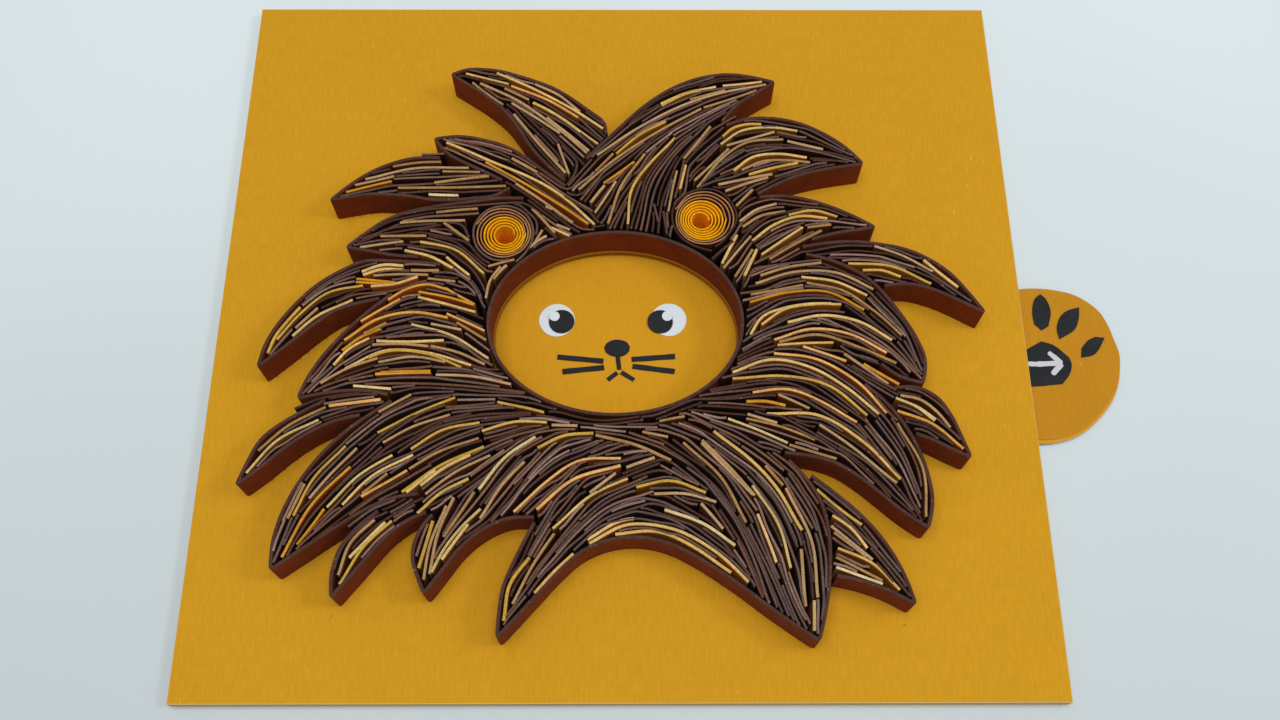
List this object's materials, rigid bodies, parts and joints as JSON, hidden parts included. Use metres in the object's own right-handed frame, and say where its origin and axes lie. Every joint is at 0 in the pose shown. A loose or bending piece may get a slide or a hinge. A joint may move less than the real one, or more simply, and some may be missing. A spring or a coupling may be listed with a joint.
{
  "type": "quilled paper art card",
  "caption": "Square pocket card with a lion's head of quilled paper strips round an oval window, and a paw-shaped tab that slides the face card behind it.",
  "frame": {"origin": "centre of the card's back face, on the surface the card lies on", "axes": "+X across the card to the pull tab, +Y to the top of the picture, +Z out of the card's front"},
  "size_m": [0.1676, 0.141, 0.0095],
  "materials": {
    "card_front": "orange card with a fine linen grain",
    "card_back": "orange card",
    "spacer_card": "plain thick card strips",
    "slider_orange": "orange card, smooth",
    "paw_orange": "orange paper",
    "black_paper": "matt black paper",
    "white_paper": "matt white paper",
    "strip_dark": "dark brown quilling paper",
    "strip_mid": "taupe brown quilling paper",
    "strip_tan": "tan quilling paper",
    "strip_orange": "orange quilling paper",
    "strip_yellow": "yellow quilling paper",
    "strip_cream": "cream quilling paper",
    "lock_brown": "red-brown quilling paper",
    "ring_brown": "red-brown quilling paper",
    "ear_orange": "orange quilling paper",
    "ear_brown": "light brown quilling paper"
  },
  "bodies": {
    "card": {"back_panel": "card_back", "ear_left_core": "ear_orange", "ear_left_wrap": "ear_brown", "ear_right_core": "ear_orange", "ear_right_wrap": "ear_brown", "face_ring": "ring_brown", "fill_strips_cream": "strip_cream", "fill_strips_dark": "strip_dark", "fill_strips_mid": "strip_mid", "fill_strips_orange": "strip_orange", "fill_strips_tan": "strip_tan", "fill_strips_yellow": "strip_yellow", "front_panel": "card_front", "lock_beard": "lock_brown", "lock_brow_left": "lock_brown", "lock_crown_left": "lock_brown", "lock_crown_right": "lock_brown", "lock_fringe_left": "lock_brown", "lock_fringe_middle": "lock_brown", "lock_fringe_right": "lock_brown", "lock_left_1": "lock_brown", "lock_left_2": "lock_brown", "lock_left_3": "lock_brown", "lock_left_4": "lock_brown", "lock_left_5": "lock_brown", "lock_left_6": "lock_brown", "lock_right_1": "lock_brown", "lock_right_2": "lock_brown", "lock_right_3": "lock_brown", "lock_right_4": "lock_brown", "lock_right_5": "lock_brown", "lock_right_6": "lock_brown", "rail_lower": "spacer_card", "rail_upper": "spacer_card", "spacer_bottom": "spacer_card", "spacer_left": "spacer_card", "spacer_right_lower": "spacer_card", "spacer_right_upper": "spacer_card", "spacer_top": "spacer_card"},
    "slider": {"eye_white_left": "white_paper", "eye_white_right": "white_paper", "highlight_left": "white_paper", "highlight_right": "white_paper", "mouth_left": "black_paper", "mouth_right": "black_paper", "nose": "black_paper", "paw_disc": "paw_orange", "paw_pad": "black_paper", "paw_toe_1": "black_paper", "paw_toe_2": "black_paper", "paw_toe_3": "black_paper", "paw_toe_4": "black_paper", "philtrum": "black_paper", "pupil_left": "black_paper", "pupil_right": "black_paper", "slider_card": "slider_orange", "whisker_left_lower": "black_paper", "whisker_left_upper": "black_paper", "whisker_right_lower": "black_paper", "whisker_right_upper": "black_paper"}
  },
  "joints": [
    {"name": "tab_slide", "type": "slide", "parent": "card", "child": "slider", "axis": [1, 0, 0], "range_m": [0, 0.043]}
  ]
}
